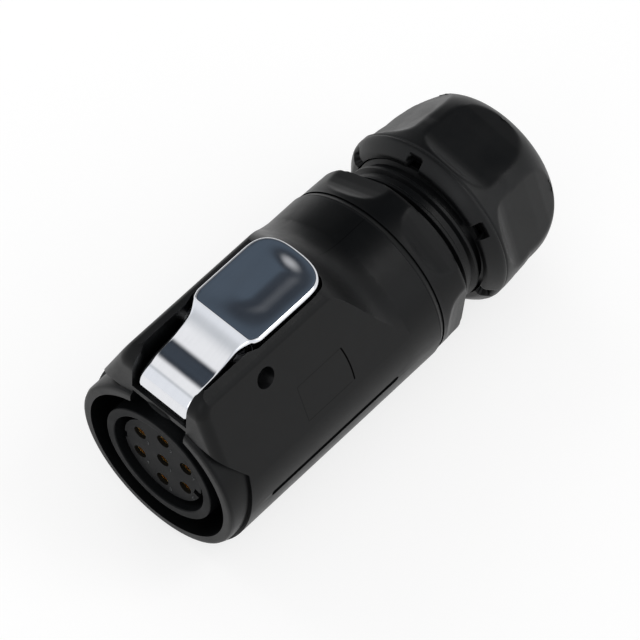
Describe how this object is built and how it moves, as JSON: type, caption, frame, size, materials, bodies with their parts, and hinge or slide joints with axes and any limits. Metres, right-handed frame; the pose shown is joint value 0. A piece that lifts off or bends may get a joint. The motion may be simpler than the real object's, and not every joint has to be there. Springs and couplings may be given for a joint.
{
  "type": "circular connector plug",
  "caption": "Round plastic cable plug with a socket insert, a chromed push lever that releases the mating latch, and a domed cable gland nut.",
  "frame": {"origin": "centre of the mating face, on the axis of the round shell", "axes": "+X along the plug from the mating face to the cable end, +Z towards the release lever, Y completes a right-handed frame"},
  "size_m": [0.0865, 0.035, 0.0445],
  "materials": {
    "body_plastic": "dark grey moulded plastic, fine matte grain",
    "insert_plastic": "grey moulded plastic",
    "claw_plastic": "light moulded plastic",
    "lever_chrome": "bright chrome plated casting",
    "pin_steel": "plain steel",
    "contact_gold": "gold plated",
    "seal_rubber": "black rubber"
  },
  "bodies": {
    "housing": {"coupling_housing": "body_plastic", "lever_pin": "pin_steel", "lever_spring": "pin_steel", "insert_barrel": "insert_plastic", "contact_insert": "insert_plastic", "contact_1": "contact_gold", "contact_2": "contact_gold", "contact_3": "contact_gold", "contact_4": "contact_gold", "contact_5": "contact_gold", "contact_6": "contact_gold", "contact_7": "contact_gold", "insert_circlip": "pin_steel", "retaining_ring": "insert_plastic", "face_seal": "seal_rubber", "seam_seal": "seal_rubber", "back_housing": "body_plastic", "clamp_claw": "claw_plastic", "cable_grommet": "seal_rubber"},
    "lever": {"release_lever": "lever_chrome"},
    "nut_slide": {"slip_washer": "claw_plastic"},
    "nut": {"gland_nut": "body_plastic"}
  },
  "joints": [
    {"name": "lever_press", "type": "hinge", "parent": "housing", "child": "lever", "pos_m": [0.0149, 0, 0.0212], "axis": [0, 1, 0], "range_deg": [0, 6.5], "stiffness_Nm_per_rad": 0.6, "springref_deg": -8.59, "deforming": ["lever_spring"]},
    {"name": "nut_travel", "type": "slide", "parent": "housing", "child": "nut_slide", "axis": [1, 0, 0], "range_m": [-0.0055, 0]},
    {"name": "nut_turn", "type": "hinge", "parent": "nut_slide", "child": "nut", "pos_m": [0.0653, 0, 0], "axis": [1, 0, 0], "range_deg": [-790, 0]}
  ],
  "couplings": [
    {"joint": "nut_travel", "follows": "nut_turn", "m_per_rad": 0.00039789}
  ]
}
